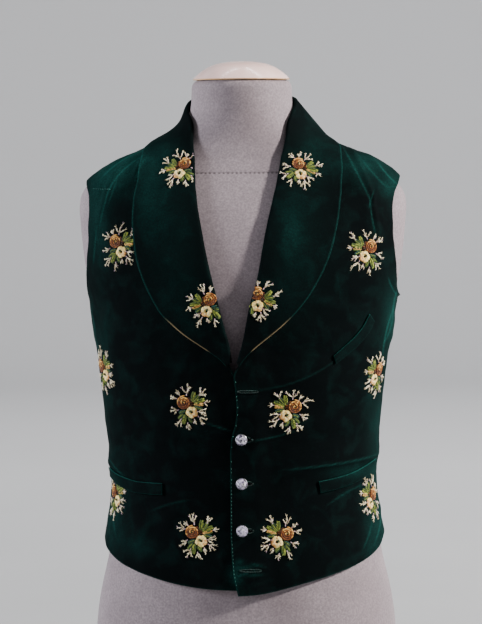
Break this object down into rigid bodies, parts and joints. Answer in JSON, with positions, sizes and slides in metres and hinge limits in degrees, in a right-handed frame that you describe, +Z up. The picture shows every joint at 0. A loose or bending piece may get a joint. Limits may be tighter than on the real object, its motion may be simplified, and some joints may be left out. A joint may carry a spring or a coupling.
{
  "type": "evening waistcoat on dress form",
  "caption": "Evening waistcoat of dark green velvet with a shawl collar and embroidered flower sprigs, shown on a limbless dress form.",
  "frame": {"origin": "centre of the flat underside of the dress form", "axes": "+Z up along the neck, +X towards the wearer's left, -Y towards the wearer's front"},
  "size_m": [0.385, 0.2506, 0.7533],
  "materials": {
    "velvet": "bottle green silk velvet with a teal sheen",
    "back_cloth": "plain dark green glazed cotton",
    "jersey": "matt warm grey knitted jersey",
    "lacquer": "glossy pale pink lacquer",
    "button_glass": "pale violet cut glass in a silvery metal rim"
  },
  "bodies": {
    "root": {"dress_form": "jersey", "neck_cap": "lacquer", "front_left": "velvet", "front_right": "velvet", "back": "back_cloth", "collar_left": "velvet", "collar_right": "velvet", "welt_pocket_left": "velvet", "welt_pocket_right": "velvet", "welt_breast": "velvet", "button_1": "button_glass", "button_2": "button_glass", "button_3": "button_glass"}
  },
  "joints": []
}
